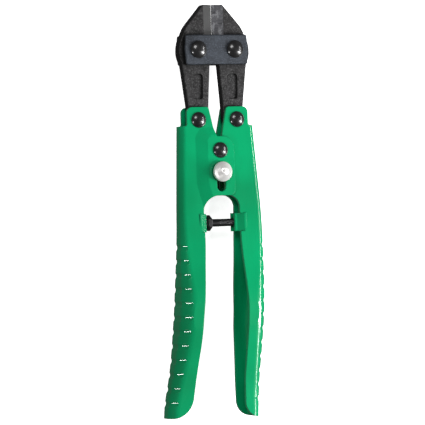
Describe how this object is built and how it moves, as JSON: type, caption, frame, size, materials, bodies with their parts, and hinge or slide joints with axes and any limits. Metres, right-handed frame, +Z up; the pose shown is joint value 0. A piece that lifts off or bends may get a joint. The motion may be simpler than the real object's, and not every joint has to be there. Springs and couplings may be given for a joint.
{
  "type": "bolt cutters",
  "caption": "Small hand bolt cutters: two pressed U-channel handles work forged jaws through a toggle linkage, with a sliding latch and a stop bolt.",
  "frame": {"origin": "bottom centre of the box of the closed tool lying flat on its back face", "axes": "X across the tool with the right handle on +X, Y along the tool with the jaws on +Y, Z up through its thickness with the latch knob on top"},
  "size_m": [0.0566, 0.21, 0.0207],
  "materials": {
    "handle_paint": "glossy green enamel on pressed steel",
    "forged_black": "forged steel with black oxide, bevels ground bright",
    "plate_dark": "blued flat steel",
    "rivet_black": "polished black oxide",
    "knob_nickel": "turned and nickel plated",
    "screw_black": "black oxide screw finish",
    "zinc_steel": "zinc plated"
  },
  "bodies": {
    "left_handle": {"left_handle": "handle_paint", "left_ear_rivet": "rivet_black", "centre_pivot_rivet": "rivet_black", "centre_spacer_tube": "zinc_steel", "front_pivot_washer": "zinc_steel", "back_pivot_washer": "zinc_steel", "opening_spring": "zinc_steel"},
    "right_handle": {"right_handle": "handle_paint", "right_ear_rivet": "rivet_black", "stop_nut": "screw_black"},
    "left_jaw": {"left_jaw": "forged_black"},
    "coupling_plates": {"front_coupling_plate": "plate_dark", "back_coupling_plate": "plate_dark", "left_jaw_pin": "rivet_black", "right_jaw_pin": "rivet_black"},
    "right_jaw": {"right_jaw": "forged_black"},
    "latch": {"latch_knob": "knob_nickel", "latch_stud": "zinc_steel", "latch_guide_bush": "screw_black", "latch_wave_washer": "zinc_steel", "latch_back_washer": "zinc_steel", "latch_clip": "screw_black"},
    "stop_bolt": {"stop_bolt": "screw_black"}
  },
  "joints": [
    {"name": "handle_pivot", "type": "hinge", "parent": "left_handle", "child": "right_handle", "pos_m": [0.00467, 0.03105, 0.00955], "axis": [0, 0, 1], "range_deg": [0, 24], "deforming": ["opening_spring"]},
    {"name": "left_jaw_pivot", "type": "hinge", "parent": "left_handle", "child": "left_jaw", "pos_m": [-0.00603, 0.04655, 0.00955], "axis": [0, 0, 1], "range_deg": [0, 17.7]},
    {"name": "plate_pivot", "type": "hinge", "parent": "left_jaw", "child": "coupling_plates", "pos_m": [-0.00553, 0.08205, 0.00955], "axis": [0, 0, 1], "range_deg": [-5.7, 0]},
    {"name": "right_jaw_pivot", "type": "hinge", "parent": "right_handle", "child": "right_jaw", "pos_m": [0.01537, 0.04655, 0.00955], "axis": [0, 0, 1], "range_deg": [-17.7, 0]},
    {"name": "latch_slide", "type": "slide", "parent": "left_handle", "child": "latch", "axis": [0, -1, 0], "range_m": [0, 0.0075]},
    {"name": "stop_bolt_adjust", "type": "slide", "parent": "right_handle", "child": "stop_bolt", "axis": [1, 0, 0], "range_m": [0, 0.0025]}
  ],
  "couplings": [
    {"joint": "left_jaw_pivot", "follows": "handle_pivot", "ratio": 0.7303},
    {"joint": "plate_pivot", "follows": "handle_pivot", "ratio": -0.2303},
    {"joint": "right_jaw_pivot", "follows": "handle_pivot", "ratio": -0.7303}
  ]
}
